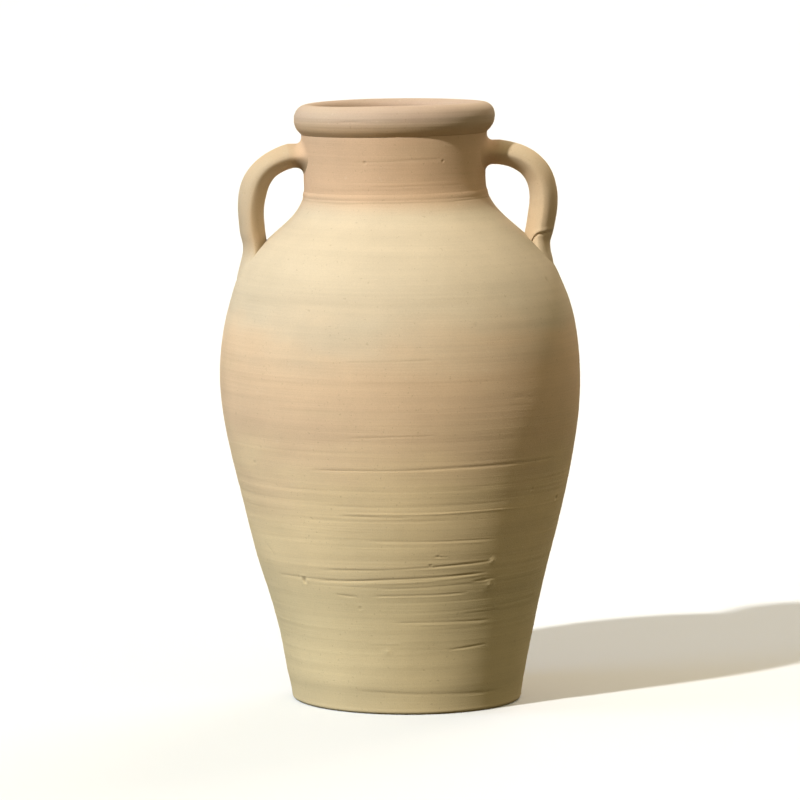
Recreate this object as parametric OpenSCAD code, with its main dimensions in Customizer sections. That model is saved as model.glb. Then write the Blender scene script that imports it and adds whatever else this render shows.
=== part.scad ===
// Two-handled clay jar, built the way a potter builds it: a floor disc, four thrown
// rings of wall, a neck, a rolled rim, and two pulled strap handles with their luting clay.
// The jar stands on z = 0 and turns about the Z axis; the handles lie along X.

/* [Body] */
// Height from the floor to the top of the rim
jar_height = 600; // [560:1:640]
// Width across the foot
foot_width = 230; // [215:1:245]
// Width across the belly
belly_width = 362; // [340:1:380]
// Height of the widest part of the belly
belly_height = 322; // [300:1:335]
// Outward lean of the wall as it leaves the foot, in mm per mm of height
foot_lean = 0.13; // [0.1:0.01:0.2]
// Thickness of the thrown wall
wall = 13; // [9:1:16]
// Thickness of the floor disc
floor_thick = 16; // [12:1:22]
// Rounding of the floor disc's outer corner
foot_round = 4; // [2:0.5:6]

/* [Neck and rim] */
// Width of the neck at its narrowest
neck_width = 181; // [172:1:190]
// Height at which the shoulder has turned up into the neck
neck_start = 518; // [510:1:524]
// Widening of the neck under the rim, across
neck_flare = 5; // [0:0.5:8]
// Height of the rolled rim
rim_height = 33; // [28:1:38]
// Width across the rim at its fullest
rim_width = 201; // [198:1:210]
// Width of the mouth, a straight bore through the rim and neck
mouth_width = 156; // [148:1:160]

/* [Seams] */
// Height of the seam between the lower and middle walls
low_seam = 138; // [100:1:180]
// Height of the seam between the middle wall and the belly
high_seam = 250; // [200:1:280]
// Height of the seam between the belly and the shoulder
belly_seam = 375; // [345:1:400]
// Height of the seam between the shoulder and the neck
neck_seam = 505; // [498:1:508]
// Depth of the scored groove that locks each seam
seam_depth = 4; // [2:0.5:6]
// How far the luting coil stands proud of the neck
band_proud = 1.2; // [0.5:0.1:3]
// Height of the luting coil
band_height = 9; // [6:1:12]

/* [Handles] */
// Thickness of the strap
strap_thick = 27; // [22:1:30]
// Breadth of the strap
strap_broad = 46; // [38:1:54]
// Reach of the strap's middle line from the jar's axis
handle_reach = 147.5; // [140:0.5:152]
// Height of the strap's middle line where it leaves the neck
handle_top = 547.5; // [542:0.5:550]
// Radius of the strap's upper bend
bend_radius = 44; // [40:1:46]
// Radius of the long curve back in to the shoulder
return_radius = 200; // [180:5:240]
// Swell of the clay where a strap end is pressed on, as a share of the strap
root_swell = 0.35; // [0.1:0.05:0.5]

/* [Hidden] */
$fn = 96;

buff = "#e0cfa8";
cream = "#ecdcb9";
pink = "#dcbd97";
rose = "#d8b592";

foot_r = foot_width / 2;
belly_r = belly_width / 2;
neck_r = neck_width / 2;
mouth_r = mouth_width / 2;
rim_r = rim_width / 2;
rim_bottom = jar_height - rim_height;
far = belly_r + 40;

// Cubic curve through two ends, pulled towards two guides
function curve(a, b, c, d, t) =
    pow(1 - t, 3) * a + 3 * pow(1 - t, 2) * t * b + 3 * (1 - t) * t * t * c + pow(t, 3) * d;
function curve_way(a, b, c, d, t) =
    pow(1 - t, 2) * (b - a) + 2 * (1 - t) * t * (c - b) + t * t * (d - c);
// Point on the left of the way w, at a distance of g
function beside(p, w, g) = p + g * [-w.y, w.x] / norm(w);

// The wall's outside line, as [radius, height]: foot to belly, then belly to neck
foot_point = [foot_r, 0];
foot_guide = [foot_r + foot_lean * 102, 102];
belly_guide_low = [belly_r, belly_height - 88];
belly_point = [belly_r, belly_height];
belly_guide_high = [belly_r, belly_height + 154];
neck_guide = [neck_r, neck_start - 54];
neck_point = [neck_r, neck_start];
flare_point = [neck_r + neck_flare / 2, rim_bottom];
LOW_STEPS = 16;
HIGH_STEPS = 22;

function low_wall(t) = curve(foot_point, foot_guide, belly_guide_low, belly_point, t);
function low_way(t) = curve_way(foot_point, foot_guide, belly_guide_low, belly_point, t);
function high_wall(t) = curve(belly_point, belly_guide_high, neck_guide, neck_point, t);
function high_way(t) = curve_way(belly_point, belly_guide_high, neck_guide, neck_point, t);

outside = concat(
    [for (i = [0 : LOW_STEPS]) low_wall(i / LOW_STEPS)],
    [for (i = [1 : HIGH_STEPS]) high_wall(i / HIGH_STEPS)],
    [flare_point]
);
inside = concat(
    [for (i = [0 : LOW_STEPS]) beside(low_wall(i / LOW_STEPS), low_way(i / LOW_STEPS), wall)],
    [for (i = [1 : HIGH_STEPS - 1])
        beside(high_wall(i / HIGH_STEPS), high_way(i / HIGH_STEPS), wall)],
    [[mouth_r, neck_start], [mouth_r, rim_bottom]]
);

// Radius of the middle of the wall at height z
function wall_middle(z) = (lookup_r(outside, z) + lookup_r(inside, z)) / 2;
function lookup_r(line, z) = lookup(z, [for (p = line) [p.y, p.x]]);

// The whole wall in section, with no floor
module wall_outline() {
    polygon(concat(outside, [for (i = [len(inside) - 1 : -1 : 0]) inside[i]]));
}

// Everything inside the outer line, from height low to height high
module solid_outline(low, high) {
    polygon(concat(
        [[0, low], [lookup_r(outside, low), low]],
        [for (p = outside) if (p.y > low && p.y < high) p],
        [[lookup_r(outside, high), high], [0, high]]
    ));
}

// A scored seam is a shallow V: its point is in the middle of the wall
function seam_line(z, middle) = [
    [0, z], [middle - wall / 4, z], [middle, z - seam_depth], [middle + wall / 4, z], [far, z],
];

// The band of space that one thrown ring fills, between two seams
module ring_space(low_line, high_line) {
    polygon(concat(low_line, [for (i = [len(high_line) - 1 : -1 : 0]) high_line[i]]));
}

module thrown_ring(low_line, high_line) {
    rotate_extrude()
        intersection() {
            wall_outline();
            ring_space(low_line, high_line);
        }
}

floor_line = seam_line(floor_thick, wall_middle(floor_thick));
low_line = seam_line(low_seam, wall_middle(low_seam));
high_line = seam_line(high_seam, wall_middle(high_seam));
belly_line = seam_line(belly_seam, wall_middle(belly_seam));
neck_line = seam_line(neck_seam, wall_middle(neck_seam));

// The floor's top edge carries the first seam's groove
module base_floor() {
    color(buff)
    rotate_extrude()
        intersection() {
            union() {
                solid_outline(foot_round, floor_thick);
                square([foot_r - foot_round, foot_round]);
                translate([foot_r - foot_round, foot_round])
                    intersection() {
                        circle(foot_round);
                        translate([0, -foot_round])
                            square(foot_round);
                    }
            }
            ring_space([[0, 0], [far, 0]], floor_line);
        }
}

module lower_wall() {
    color(buff)
    thrown_ring(floor_line, low_line);
}

module middle_wall() {
    color(buff)
    thrown_ring(low_line, high_line);
}

module belly_wall() {
    color(cream)
    thrown_ring(high_line, belly_line);
}

module shoulder_wall() {
    color(cream)
    thrown_ring(belly_line, neck_line);
}

// The neck's wall, with a channel cut round its foot for the luting coil
module neck() {
    color(pink)
    rotate_extrude()
        difference() {
            intersection() {
                wall_outline();
                ring_space(neck_line, [[0, rim_bottom], [far, rim_bottom]]);
            }
            band_outline();
        }
}

// The luting coil in section: a round-backed strip let into the neck
module band_outline() {
    seat = neck_r - 3;
    translate([seat, neck_seam + band_height / 2 + 1])
        polygon([for (a = [-90 : 15 : 90])
            [(neck_r + band_proud + 1 - seat) * cos(a), band_height / 2 * sin(a)]]);
}

module neck_band() {
    color(rose)
    rotate_extrude()
        band_outline();
}

// Rolled lip: tapers in below to the neck, full in its upper third, rounded over the top
module rim() {
    under = neck_r + neck_flare / 2;
    full_z = jar_height - rim_height * 0.42;
    lip_r = (rim_r + mouth_r) / 2 - 2;
    color(rose)
    rotate_extrude()
        polygon(concat(
            [[mouth_r, rim_bottom], [under, rim_bottom]],
            [for (t = [0 : 0.125 : 1]) curve(
                [under + 0.5, rim_bottom + 1], [under + 5, rim_bottom + 6],
                [rim_r, full_z - 9], [rim_r, full_z], t)],
            [for (t = [0.125 : 0.125 : 1]) curve(
                [rim_r, full_z], [rim_r, full_z + 9],
                [lip_r + 7, jar_height], [lip_r, jar_height], t)],
            [for (t = [0.2 : 0.2 : 1]) curve(
                [lip_r, jar_height], [lip_r - 5, jar_height],
                [mouth_r, jar_height - 3], [mouth_r, jar_height - 8], t)]
        ));
}

// The strap in section: a soft lozenge, thick along its spine and thin at its edges
STRAP_POINTS = 24;
function rounded(v) = sign(v) * pow(abs(v), 1.25);
function strap_section(grow = 1) = [for (i = [0 : STRAP_POINTS - 1])
    let (a = 360 * i / STRAP_POINTS)
    grow * [strap_thick / 2 * rounded(cos(a)), strap_broad / 2 * rounded(sin(a))]];

bend_x = handle_reach - bend_radius;
bend_z = handle_top - bend_radius;
return_x = handle_reach - return_radius;
// The strap's lower end is cut square at this angle of the long curve
return_angle = 11;

// One stretch of the strap, bent about a centre in the XZ plane
module strap_bend(x, z, radius, from, sweep) {
    translate([x, 0, z])
    rotate([90, 0, 0])
        rotate_extrude(angle = sweep, start = from, $fn = 180)
            translate([radius, 0])
                polygon(strap_section());
}

module strap() {
    strap_bend(bend_x, bend_z, bend_radius, 0, 90);
    strap_bend(return_x, bend_z, return_radius, -return_angle, return_angle);
}

// Skin through a stack of rings that all have the same number of points
module skin(rings) {
    n = len(rings[0]);
    last = len(rings) - 1;
    polyhedron(
        points = [for (ring = rings) each ring],
        faces = concat(
            [[for (i = [0 : n - 1]) i]],
            [for (k = [0 : last - 1]) for (i = [0 : n - 1])
                [k * n + i, (k + 1) * n + i, (k + 1) * n + (i + 1) % n, k * n + (i + 1) % n]],
            [[for (i = [n - 1 : -1 : 0]) last * n + i]]
        )
    );
}

// Clay pressed round the strap's upper end: swells as it runs into the neck
ROOT_STEPS = 6;
root_run = bend_x - mouth_r;
module root() {
    difference() {
        skin([for (k = [0 : ROOT_STEPS])
            let (t = k / ROOT_STEPS, grow = 1 + root_swell * t * t)
            [for (p = strap_section(grow)) [bend_x - root_run * t, p.y, handle_top + p.x]]]);
        rotate_extrude()
            solid_outline(neck_seam, rim_bottom);
    }
}

// Clay smeared round the strap's lower end: swells as it runs into the shoulder
PAD_STEPS = 8;
pad_sweep = 17;
module pad() {
    difference() {
        skin([for (k = [0 : PAD_STEPS])
            let (t = k / PAD_STEPS,
                grow = 1 + root_swell * t * t,
                a = -return_angle - pad_sweep * t)
            [for (p = strap_section(grow)) [
                return_x + (return_radius + p.x) * cos(a),
                p.y,
                bend_z + (return_radius + p.x) * sin(a)]]]);
        rotate_extrude()
            solid_outline(belly_height, neck_seam);
    }
}

module left() {
    mirror([1, 0, 0])
        children();
}

module right_handle() {
    color(cream)
    strap();
}

module left_handle() {
    color(cream)
    left()
        strap();
}

module right_handle_root() {
    color(pink)
    root();
}

module left_handle_root() {
    color(pink)
    left()
        root();
}

module right_handle_pad() {
    color(cream)
    pad();
}

module left_handle_pad() {
    color(cream)
    left()
        pad();
}

base_floor();
lower_wall();
middle_wall();
belly_wall();
shoulder_wall();
neck();
neck_band();
rim();
left_handle();
right_handle();
left_handle_root();
right_handle_root();
left_handle_pad();
right_handle_pad();
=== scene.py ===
import math
from collections import namedtuple
from functools import lru_cache

import bmesh
import bpy
import numpy as np
from bpy.props import FloatProperty, FloatVectorProperty, IntProperty, PointerProperty
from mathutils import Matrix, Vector
from mathutils.bvhtree import BVHTree


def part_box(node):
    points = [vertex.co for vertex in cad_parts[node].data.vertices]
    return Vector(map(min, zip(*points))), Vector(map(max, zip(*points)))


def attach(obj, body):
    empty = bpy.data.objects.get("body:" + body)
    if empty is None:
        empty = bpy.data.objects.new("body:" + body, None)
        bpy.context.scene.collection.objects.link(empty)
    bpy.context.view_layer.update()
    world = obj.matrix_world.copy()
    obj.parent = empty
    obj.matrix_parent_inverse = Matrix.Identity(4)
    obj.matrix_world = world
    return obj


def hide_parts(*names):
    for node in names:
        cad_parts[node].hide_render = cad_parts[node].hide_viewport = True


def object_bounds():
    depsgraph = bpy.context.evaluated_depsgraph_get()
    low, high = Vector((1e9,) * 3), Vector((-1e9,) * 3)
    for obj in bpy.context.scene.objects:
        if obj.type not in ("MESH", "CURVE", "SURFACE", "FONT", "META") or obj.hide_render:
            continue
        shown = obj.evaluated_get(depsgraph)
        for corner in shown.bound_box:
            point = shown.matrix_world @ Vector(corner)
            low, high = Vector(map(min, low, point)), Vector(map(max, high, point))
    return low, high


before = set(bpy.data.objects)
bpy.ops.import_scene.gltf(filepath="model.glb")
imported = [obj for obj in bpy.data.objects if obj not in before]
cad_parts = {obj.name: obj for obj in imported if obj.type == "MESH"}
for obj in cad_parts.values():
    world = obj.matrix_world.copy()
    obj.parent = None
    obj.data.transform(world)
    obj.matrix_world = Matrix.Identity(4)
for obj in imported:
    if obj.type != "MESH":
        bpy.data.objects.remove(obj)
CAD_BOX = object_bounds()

bl_info = {
    "name": "Thrown Clay Amphora",
    "version": (1, 0, 0),
    "blender": (4, 5, 0),
    "location": "View3D > Sidebar > Amphora",
    "description": "A two-handled clay jar with throwing lines, luted seams and hand-pulled straps",
    "category": "Object",
}

MM = 0.001
BODY = "root"
WALLS = ("lower_wall", "middle_wall", "belly_wall", "shoulder_wall")
HEIGHT = CAD_BOX[1].z
FOOT_CORNER = 4 * MM      # rounding at the foot's outer edge
SEAM_DEPTH = 4 * MM       # how far down the V between two thrown rings goes
BEND_REACH = 24 * MM      # how far from the coil the wall still shows the bend that runs under it
COIL_DEPTH = 3 * MM       # how far the luting coil goes into the wall
RIM_LIFT = 2.8 * MM       # how much higher the roll's lower edge is than in the CAD
STRAP_STEP = 0.8 * MM     # spacing of the rings along a strap
AROUND = 600              # points round the jar
AROUND_ROLL = 150         # points round the section of the rim
AROUND_STRAP = 112        # points round a strap
FLOOR_RADIUS = 30.0       # in metres, like the dome that stands on its edge

# ---------------------------------------------------------------- settings


def colour(name, description, default):
    """A colour that the user can change."""
    return FloatVectorProperty(
        name=name, description=description, default=default, size=3, min=0.0, max=1.0, subtype="COLOR")


def length(name, description, default, top=0.2):
    """A length that the user can change, up to top metres."""
    return FloatProperty(
        name=name, description=description, default=default, min=0.0, max=top,
        subtype="DISTANCE", unit="LENGTH")


class AmphoraShape(bpy.types.PropertyGroup):
    """How far the hand-made jar strays from a true turned form."""

    lean: FloatProperty(
        name="Lean", description="Lean of the jar above its foot, to the left",
        default=math.radians(1.15), min=0.0, max=math.radians(3), subtype="ANGLE", unit="ROTATION")
    out_of_round: length("Out of round", "How far the wall strays from a circle", 0.35 * MM, 0.005)
    throwing_line: length("Throwing line", "Depth of the fine lines left by the fingers", 0.036 * MM, 0.002)
    inner_line: length("Inner line", "Depth of the spiral left inside the jar", 0.9 * MM, 0.005)
    line_pitch: length("Line pitch", "Spacing of the broadest throwing lines", 19 * MM, 0.05)
    seed: IntProperty(name="Seed", description="Seed for the hand-made wander", default=11, min=0)


class AmphoraClay(bpy.types.PropertyGroup):
    """Colours of the fired clay, zone by zone."""

    foot: colour("Foot", "Olive buff of the lowest wall", (0.645, 0.543, 0.329))
    buff: colour("Buff", "Yellow buff under the belly", (0.735, 0.592, 0.362))
    blush: colour("Blush", "Pink blush of the belly", (0.652, 0.488, 0.322))
    cream: colour("Cream", "Pale cream of the shoulder", (0.566, 0.484, 0.354))
    tan: colour("Tan", "Pinkish tan of the neck", (0.600, 0.425, 0.280))
    rose: colour("Rose", "Warm rose of the rim", (0.475, 0.360, 0.280))
    olive: colour("Olive", "Faint olive patches on the wall", (0.600, 0.530, 0.330))
    pale_rose: colour("Pale rose", "Paler patches on the rim", (0.490, 0.390, 0.298))
    umber: colour("Umber", "Browner clay under the roll of the rim", (0.620, 0.410, 0.195))
    strap: colour("Strap", "Warm tan of the straps", (0.610, 0.468, 0.309))
    fleck: colour("Fleck", "Pale flecks in the clay", (0.740, 0.670, 0.530))
    # Also the colour of the dark specks, and of the soil and painted shade in grooves, pits and where the
    # straps meet the jar.
    dust_and_shade: colour("Dust", "Dark dust lying in grooves and pits", (0.220, 0.160, 0.090))


class AmphoraStage(bpy.types.PropertyGroup):
    """Floor, lamps and camera."""

    floor: colour("Floor", "Pale floor", (0.765, 0.815, 0.885))
    backdrop: colour("Backdrop", "Pale backdrop behind the floor", (1.0, 1.0, 1.0))
    above: colour("Light from above", "Soft light that comes down on the jar", (0.60, 0.507, 0.315))
    below: colour("Light from below", "Warm light that comes up from around the jar", (0.025, 0.020, 0.012))
    key_strength: FloatProperty(
        name="Key strength", description="Strength of the key lamp", default=3.5, min=0.0)
    side_strength: FloatProperty(
        name="Side strength", description="Strength of the soft lamp on the left", default=0.78, min=0.0)
    back_strength: FloatProperty(
        name="Back strength", description="Strength of the soft lamp behind the jar", default=1.1, min=0.0)
    key_turn: FloatProperty(
        name="Key turn", description="Angle of the key lamp round to the left of the camera",
        default=math.radians(41), subtype="ANGLE", unit="ROTATION")
    key_rise: FloatProperty(
        name="Key rise", description="Angle of the key lamp above the floor",
        default=math.radians(39), subtype="ANGLE", unit="ROTATION")
    camera_back: length("Camera distance", "Distance of the camera in front of the jar", 4.91, 20.0)
    camera_up: length("Camera height", "Height of the camera above the floor", 0.822, 5.0)
    aim_left: length("Aim left", "How far left of the axis the camera stands and looks", 7 * MM)
    aim_up: length("Aim up", "How far above the jar's middle the camera looks", 1.1 * MM)
    lens: FloatProperty(
        name="Lens", description="Focal length", default=221.0, min=10.0, unit="CAMERA")


def shape():
    return bpy.context.scene.amphora_shape


def clay():
    return bpy.context.scene.amphora_clay


def stage_settings():
    return bpy.context.scene.amphora_stage


# ---------------------------------------------------------------- the turned form, read from the CAD parts


def smooth_step(low, high, value):
    """0 before low, 1 past high, with a soft rise between. Low may be the larger of the two."""
    t = np.clip((value - low) / (high - low), 0.0, 1.0)
    return t * t * (3 - 2 * t)


@lru_cache(maxsize=None)
def surface_of(name):
    """The CAD surface of a node, ready for casting rays at."""
    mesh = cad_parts[name].data
    return BVHTree.FromPolygons([v.co for v in mesh.vertices], [tuple(p.vertices) for p in mesh.polygons])


def cast(names, origin, direction):
    """Distance from origin to the nearest CAD surface of the named nodes."""
    reaches = [surface_of(name).ray_cast(Vector(origin), Vector(direction))[3] for name in names]
    reaches = [reach for reach in reaches if reach is not None]
    if not reaches:
        raise RuntimeError(f"no surface of {names} seen from {origin}")
    return min(reaches)


class TurnedForm:
    """Outer and inner radius of the jar at any height, smoothed from the CAD walls."""

    def __init__(self):
        self.seams = {name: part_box(name)[1].z for name in WALLS}
        self.floor_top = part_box("base_floor")[1].z
        self.neck_low = self.seams["shoulder_wall"]
        self.rim_low, self.rim_high = (corner.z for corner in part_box("rim"))
        names = ("base_floor", *WALLS, "neck")
        outside = CAD_BOX[1].x * 2
        self.heights = np.arange(4.5 * MM, self.rim_low - 0.4 * MM, 1 * MM)
        outer = np.array([outside - cast(names, (0, -outside, z), (0, 1, 0)) for z in self.heights])
        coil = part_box("neck_band")
        plain = (self.heights < coil[0].z - 2 * MM) | (self.heights > coil[1].z + 2 * MM)
        beside = plain & (np.abs(self.heights - coil[0].z) < BEND_REACH)
        bend = np.polynomial.Polynomial.fit(self.heights[beside], outer[beside], 5)
        self.outer = self.soften(np.where(plain, outer, bend(self.heights)))
        self.inner_heights = self.heights[self.heights > self.floor_top + MM]
        inner = [cast(names[1:], (0, 0, z), (0, -1, 0)) for z in self.inner_heights]
        self.inner = self.soften(np.array(inner))
        self.mouth = float(self.inner[-1])

    @staticmethod
    def soften(line, reach=7):
        """The line with its small steps smoothed out and both ends kept."""
        weights = np.exp(-np.linspace(-2, 2, 2 * reach + 1) ** 2)
        lead = line[0] - (line[1:reach + 1] - line[0])[::-1]
        tail = line[-1] + (line[-1] - line[-reach - 1:-1])[::-1]
        return np.convolve(np.concatenate([lead, line, tail]), weights / weights.sum(), "valid")

    def out(self, z):
        """Outer radius at height z."""
        return np.interp(z, self.heights, self.outer)

    def inn(self, z):
        """Inner radius at height z."""
        return np.interp(z, self.inner_heights, self.inner)


# ---------------------------------------------------------------- the hand-made part of the form


class Wander:
    """A gentle seeded wave over angle and height, about one unit high."""

    def __init__(self, seed, turns, pitches, count=9):
        rng = np.random.default_rng(seed)
        self.waves = [
            (rng.integers(turns[0], turns[1] + 1), 2 * math.pi / rng.uniform(*pitches) * rng.choice((-1, 1)),
             rng.uniform(0, 2 * math.pi), rng.uniform(0.5, 1.0))
            for _ in range(count)]
        self.scale = 1.6 / math.sqrt(count)

    def __call__(self, turn, z):
        total = sum(a * np.cos(k * turn + q * z + p) for k, q, p, a in self.waves)
        return total * self.scale


Groove = namedtuple("Groove", "height rise depth width start end")
Pit = namedtuple("Pit", "height turn radius depth")
Scratch = namedtuple("Scratch", "height turn end_height end_turn depth width")
Apron = namedtuple("Apron", "side thick low reach")

# Heights, depths and widths in mm, angles in degrees round from the front, to the right.
# A negative depth stands proud. Rise is in mm over the groove's whole run. An apron is clay smeared
# down from a strap, on the left (-1) or right: how thick, how low it goes, and its reach to each side.
GROOVES = (
    Groove(250.6, 1.0, 0.55, 1.5, -34, 48),
    Groove(250.4, 0.0, 0.35, 1.2, 18, 62),
    Groove(229.0, -2.0, 0.22, 2.2, -50, 30),
    Groove(213.6, -1.0, 0.22, 2.0, -30, 44),
    Groove(205.6, -2.0, -0.50, 1.0, -25, 46),
    Groove(203.2, -2.0, 0.40, 1.1, -24, 2),
    Groove(199.0, 0.0, 0.22, 1.6, -40, 20),
    Groove(186.0, 1.0, 0.15, 1.5, -35, -12),
    Groove(177.5, -3.0, 0.50, 1.0, -15, 38),
    Groove(174.6, -3.0, -0.22, 1.1, -12, 34),
    Groove(150.5, 5.0, 0.60, 1.2, -36, 37),
    Groove(152.8, 4.0, 0.60, 1.0, 8, 37),
    Groove(139.6, 6.0, 1.00, 1.25, -40, 36),
    Groove(136.6, 6.0, -0.40, 1.3, -27, 34),
    Groove(138.0, 0.0, 0.40, 1.6, -60, -24),
    Groove(131.0, 2.0, 0.35, 1.0, -12, 30),
    Groove(123.0, 0.5, 0.70, 1.1, -14, 27),
    Groove(120.6, 0.5, -0.22, 1.0, -14, 24),
    Groove(102.0, 1.0, 0.25, 1.2, 24, 44),
    Groove(94.0, -3.0, 0.55, 1.2, -6, 40),
    Groove(91.0, -3.0, -0.25, 1.2, 4, 38),
    Groove(73.5, 0.0, -0.30, 1.1, -18, -2),
    Groove(21.0, -5.0, 0.45, 1.9, -28, 55),
    Groove(357.5, 0.8, 0.30, 0.9, -19, 11),
    Groove(335.0, 0.0, 0.14, 2.4, -60, 40),
    Groove(308.0, -1.0, 0.16, 2.6, -48, 52),
    Groove(283.5, 0.6, 0.32, 1.1, -18, 12),
    Groove(268.0, 1.0, 0.18, 2.0, -52, 20),
    Groove(412.0, 0.0, 0.12, 3.0, -70, 50),
    Groove(504.8, 0.0, 0.50, 1.1, -179.9, 180),
    Groove(546.5, 2.0, 0.28, 1.0, -28, 34),
    Groove(540.0, 0.0, -0.14, 1.4, -40, 30),
    Groove(531.0, 1.0, 0.16, 1.2, -10, 60),
    Groove(525.5, 0.0, 0.20, 1.0, -42, 40),
    Groove(521.0, -1.0, 0.26, 1.0, -20, 52),
    Groove(517.5, 0.0, 0.16, 1.0, -60, 20),
)
SCRATCHES = (
    Scratch(123.4, -28.5, 121.4, -19.5, 0.55, 0.8),
    Scratch(65.4, 19.0, 68.4, 38.0, 0.50, 0.9),
    Scratch(134.0, 28.0, 135.2, 38.0, 0.60, 1.0),
    Scratch(170.0, -64.0, 158.0, -58.0, 0.35, 0.9),
    Scratch(318.0, 36.0, 315.0, 47.0, 0.25, 0.8),
)
PITS = (
    Pit(135.5, -43.0, 2.6, 1.3),
    Pit(135.2, -42.2, 1.2, -0.9),
    Pit(162.0, 12.5, 1.3, 0.9),
    Pit(161.2, 13.6, 1.0, 0.7),
    Pit(164.2, 13.0, 0.8, 0.5),
    Pit(153.2, 10.0, 1.3, 0.9),
    Pit(161.0, 15.4, 0.9, 0.5),
    Pit(129.0, 35.5, 3.2, -1.0),
    Pit(153.6, 35.6, 1.7, -1.1),
    Pit(65.0, -8.5, 1.9, -0.6),
    Pit(110.0, -19.0, 1.6, 0.5),
    Pit(390.0, 25.0, 1.4, 0.7),
    Pit(545.2, -18.5, 1.5, 0.6),
    Pit(551.0, 10.0, 1.0, 0.5),
    Pit(545.0, 31.5, 1.4, 0.6),
    Pit(252.0, -58.0, 1.6, 0.5),
    Pit(300.0, -40.0, 1.1, 0.4),
    Pit(222.0, 50.0, 1.5, 0.5),
)
APRONS = (Apron(-1, 2.9, 390, 29), Apron(1, 1.6, 412, 30))

# Where the hand-joined jar's middle lies at each height, in mm: to the left going up.
MIDDLE_LINE = (
    (0, 0), (28, -1.1), (70, -0.4), (110, -1.6), (150, -3.0), (200, -2.8), (235, -3.7), (290, -5.5),
    (325, -6.9), (400, -7.7), (455, -9.4), (470, -10.6), (485, -10.2), (500, -11.0), (522, -12.6),
    (570, -13.4), (610, -12.4))

# How much fuller the wall is than the turned form at each height, in mm.
FULLNESS = (
    (0, 0), (27, 0.9), (45, 0.7), (68, -0.2), (95, -0.6), (125, -0.4), (151, 0.2), (180, -0.5),
    (221, -0.9), (250, -0.8), (285, -0.4), (320, 0.0), (350, 0.3), (400, 0.6), (440, 1.4), (462, 2.8),
    (480, 2.4), (497, 1.6), (512, 0.9), (530, 0.0), (610, 0.0))


def back_marks(seed):
    """Grooves and pits for the sides and the back, in the same hand as those in front."""
    rng = np.random.default_rng(seed)
    grooves, pits = [], []
    for _ in range(26):
        height = rng.choice((rng.uniform(60, 255), rng.uniform(60, 255), rng.uniform(270, 400)))
        middle, half = rng.uniform(95, 265), rng.uniform(12, 42)
        depth = rng.uniform(0.2, 0.75) * (1 if rng.random() < 0.75 else -0.6)
        grooves.append(Groove(
            height, rng.uniform(-3, 3), depth * (0.5 if height > 260 else 1.0), rng.uniform(0.9, 1.6),
            middle - half, middle + half))
    for _ in range(26):
        pits.append(Pit(rng.uniform(30, 470), rng.uniform(60, 300), rng.uniform(0.9, 2.2),
                        rng.choice((-0.5, 0.4, 0.6, 0.9))))
    return grooves, pits


@lru_cache(maxsize=None)
def turned_form():
    return TurnedForm()


@lru_cache(maxsize=None)
def relief_of_jar():
    return Relief(turned_form())


def turn_from(turn, middle):
    """Signed angle from middle to turn, the short way round."""
    return (turn - middle + math.pi) % (2 * math.pi) - math.pi


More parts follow.
